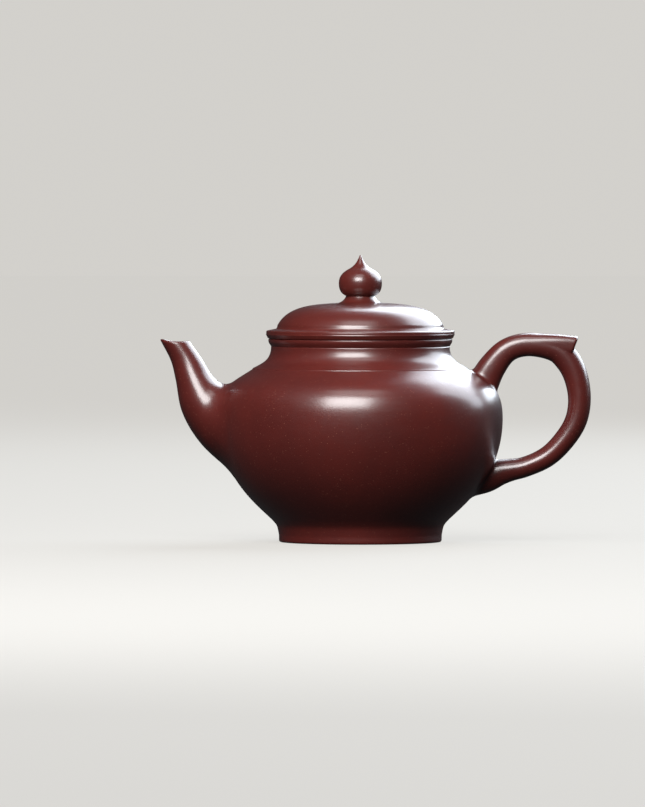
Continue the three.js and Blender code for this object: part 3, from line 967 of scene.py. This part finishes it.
def lid_dome():
    """The hollow dome, with a small skirt where it stands on the plate, and the vent hole."""
    rise = DOME_TOP_Z - PLATE_TOP_Z
    foot_r, foot_z = DOME_R - 0.7, PLATE_TOP_Z + 1.3
    skirt = bezier(
        (DOME_R, PLATE_TOP_Z - 0.3),
        (DOME_R - 0.35, PLATE_TOP_Z + 0.1),
        (foot_r, foot_z - 0.6),
        (foot_r, foot_z),
        5,
    )
    crown = bezier(
        (foot_r, foot_z),
        (DOME_R - 4.6, PLATE_TOP_Z + rise * 0.9),
        (CROWN_R + 9, DOME_TOP_Z - 0.42),
        (CROWN_R, DOME_TOP_Z),
        40,
    )
    under = offset(crown, LID_WALL)[::-1]
    under = under[under[:, 1] > PLATE_TOP_Z + 0.6]
    profile = outline(
        (0, DOME_TOP_Z - LID_WALL, 0),
        under,
        (foot_r - LID_WALL, PLATE_TOP_Z - 0.3, 0),
        skirt,
        crown[1:],
        (0, DOME_TOP_Z, 0),
    )
    piece = make("lid_dome", turned(profile, POT_TURNS))
    above, below = DOME_TOP_Z + 3, DOME_TOP_Z - LID_WALL - 3
    drill(piece, rod((0, VENT_Y, below), (0, VENT_Y, above), VENT_R, 32))
    return piece


def knob_stem():
    """The short stem. Its foot runs out flat onto the dome, so that no seam shows."""
    rise = STEM_TOP_Z - DOME_TOP_Z
    foot_r, neck_r = CROWN_R + 0.6, CROWN_R - 3
    flare = bezier(
        (foot_r, DOME_TOP_Z - 0.03),
        (CROWN_R - 1.2, DOME_TOP_Z + 0.05),
        (neck_r + 0.5, DOME_TOP_Z + rise * 0.5),
        (neck_r, STEM_TOP_Z),
        18,
    )
    sunk_z = DOME_TOP_Z - 1
    profile = outline((0, sunk_z, 0), (foot_r, sunk_z, 0), flare, (0, STEM_TOP_Z, 0))
    return make("knob_stem", turned(profile, KNOB_TURNS))


def knob():
    """An onion: a full bulb that draws in quickly to a small, nearly straight point."""
    waist_z = STEM_TOP_Z + 4.8
    turn_r, turn_z = KNOB_R - 4.2, TIP_Z - 4.9
    bulb = bezier(
        (CROWN_R - 3.1, STEM_TOP_Z),
        (KNOB_R - 0.7, STEM_TOP_Z + 0.9),
        (KNOB_R, waist_z - 2.3),
        (KNOB_R, waist_z),
        16,
    )
    shoulder = bezier(
        (KNOB_R, waist_z),
        (KNOB_R, waist_z + 3.0),
        (turn_r + 2.3, turn_z - 1.2),
        (turn_r, turn_z),
        22,
    )
    point = bezier(
        (turn_r, turn_z),
        (turn_r - 1.8, turn_z + 1.1),
        (1.1, TIP_Z - 2.3),
        (0.3, TIP_Z - 0.12),
        18,
    )
    ends = (0, STEM_TOP_Z, 0), (0.14, TIP_Z, 0), (0, TIP_Z, 0)
    profile = outline(ends[0], bulb, shoulder[1:], point[1:], *ends[1:])
    return make("knob", turned(profile, KNOB_TURNS))


# ---------- What each piece rides on, is made of and stands for ----------

PIECES = (
    (pot_wall, "pot", "pot_clay", pot_clay, ("foot_ring", "body_wall", "shoulder_disc")),
    (base_disc, "pot", "raw_clay", raw_clay, ("base_disc",)),
    (neck_collar, "pot", "pot_clay", pot_clay, ("neck_collar",)),
    (mouth_ring, "pot", "pot_clay", pot_clay, ("mouth_ring",)),
    (spout, "pot", "pot_clay", pot_clay, ("spout",)),
    (strainer, "pot", "raw_clay", raw_clay, ("strainer",)),
    (handle, "pot", "pot_clay", pot_clay, ("handle_arm", "handle_loop", "handle_tail")),
    (lid_flange, "lid_seat", "raw_clay", raw_clay, ("lid_flange",)),
    (lid_plate, "lid", "lid_clay", lid_clay, ("lid_plate",)),
    (lid_dome, "lid", "lid_clay", lid_clay, ("lid_dome",)),
    (knob_stem, "lid", "lid_clay", lid_clay, ("knob_stem",)),
    (knob, "lid", "lid_clay", lid_clay, ("knob",)),
)

for build, body, slot, material, nodes in PIECES:
    finish_piece(build(), body, slot, material, *nodes)


# ---------- Stage, lights and camera ----------


PALE = (0.86, 0.84, 0.8, 1)
FLOOR_BASE = (0.06, 0.059, 0.056, 1)
FLOOR_GLOW = 0.74
FLOOR_REACH = 8.0
BACKDROP_STRENGTH = 0.755
DIM_BLUE = (0.95, 0.95, 1, 1)
DIM_STRENGTH = 0.035


def floor():
    """A pale floor, evenly bright but for the pot's soft shadow.

    It throws no light up at the pot, and doesn't show in the pot's reflections.
    """
    reach = FLOOR_REACH
    mesh = bpy.data.meshes.new("floor")
    corners = [(-reach, -reach, 0), (reach, -reach, 0), (reach, reach, 0), (-reach, reach, 0)]
    mesh.from_pydata(corners, [], [(0, 1, 2, 3)])
    plane = bpy.data.objects.new("floor", mesh)
    bpy.context.scene.collection.objects.link(plane)
    material = bpy.data.materials.new("floor")
    material.use_nodes = True
    tree = material.node_tree
    shader = tree.nodes["Principled BSDF"]
    shader.inputs["Base Color"].default_value = FLOOR_BASE
    shader.inputs["Roughness"].default_value = 0.9
    shader.inputs["Specular IOR Level"].default_value = 0.1
    shader.inputs["Emission Color"].default_value = PALE
    shader.inputs["Emission Strength"].default_value = FLOOR_GLOW
    mesh.materials.append(material)
    plane.visible_diffuse = False
    plane.visible_glossy = False


def world():
    """Pale where the camera looks past the pot, and dim where it would light the pot."""
    made = bpy.data.worlds.new("studio")
    bpy.context.scene.world = made
    made.use_nodes = True
    tree = made.node_tree
    tree.nodes.clear()
    path = node(tree, "ShaderNodeLightPath")
    pale = node(tree, "ShaderNodeBackground", Color=PALE, Strength=BACKDROP_STRENGTH)
    dim = node(tree, "ShaderNodeBackground", Color=DIM_BLUE, Strength=DIM_STRENGTH)
    either = node(tree, "ShaderNodeMixShader")
    output = node(tree, "ShaderNodeOutputWorld")
    tree.links.new(path.outputs["Is Camera Ray"], either.inputs[0])
    tree.links.new(dim.outputs[0], either.inputs[1])
    tree.links.new(pale.outputs[0], either.inputs[2])
    tree.links.new(either.outputs[0], output.inputs["Surface"])


TARGET = Vector((AXIS_X * MM, 0, 0.05))


def softbox(name, azimuth, elevation, distance, size, power, colour=(1, 1, 1)):
    """A soft light aimed at the pot, with a width and a height.

    Azimuth 0 is the camera's side, and 90 the handle's. Distances are in metres, power in watts.
    """
    turn, lift = math.radians(azimuth), math.radians(elevation)
    level = math.cos(lift)
    back = Vector((math.sin(turn) * level, -math.cos(turn) * level, math.sin(lift)))
    light = bpy.data.lights.new(name, "AREA")
    light.shape = "RECTANGLE"
    light.size, light.size_y = size
    light.energy = power
    light.color = colour
    lamp = bpy.data.objects.new(name, light)
    lamp.location = TARGET + back * distance
    lamp.rotation_mode = "QUATERNION"
    lamp.rotation_quaternion = back.to_track_quat("Z", "Y")
    lamp.visible_camera = False
    bpy.context.scene.collection.objects.link(lamp)
    return lamp


def lights():
    """A bright panel in front with a faint one above it, a big window behind, and a dull fill.

    The window stands behind on the handle's side, and the fill on the spout's side.
    """
    softbox("key", -12, 35, distance=0.95, size=(0.56, 0.48), power=17)
    softbox("upper", -7, 68, distance=0.95, size=(0.5, 0.32), power=1.6)
    softbox("window", 138, 34, distance=1.3, size=(1.65, 1.1), power=45, colour=(0.82, 0.91, 1))
    colour = (1, 0.97, 1)
    fill = softbox("fill_left", -66, 52, distance=1.6, size=(1.2, 1.2), power=20, colour=colour)
    fill.visible_glossy = False


# The picture takes in this much height where the pot stands, and its middle lies on the spout's
# side of the pot's axis.
PICTURE_HEIGHT = 0.3026
PICTURE_SIDEWAYS = -0.0142
PICTURE_MIDDLE_Z = 0.0519
CAMERA_DISTANCE = 4.0
CAMERA_ELEVATION = math.radians(1.4)
SENSOR_WIDTH = 36


def camera():
    """Square on to the pot's side, a little above the table, and far away as with a long lens."""
    data = bpy.data.cameras.new("camera")
    data.sensor_width = SENSOR_WIDTH
    data.lens = SENSOR_WIDTH * CAMERA_DISTANCE / PICTURE_HEIGHT
    data.clip_end = 40
    eye = bpy.data.objects.new("camera", data)
    middle = Vector((AXIS_X * MM + PICTURE_SIDEWAYS, 0, PICTURE_MIDDLE_Z))
    back = Vector((0, -math.cos(CAMERA_ELEVATION), math.sin(CAMERA_ELEVATION)))
    eye.location = middle + back * CAMERA_DISTANCE
    eye.rotation_mode = "QUATERNION"
    eye.rotation_quaternion = back.to_track_quat("Z", "Y")
    bpy.context.scene.collection.objects.link(eye)
    bpy.context.scene.camera = eye


# The lights are balanced for plain display colours, without a film curve.
bpy.context.scene.view_settings.view_transform = "Standard"
floor()
world()
lights()
camera()
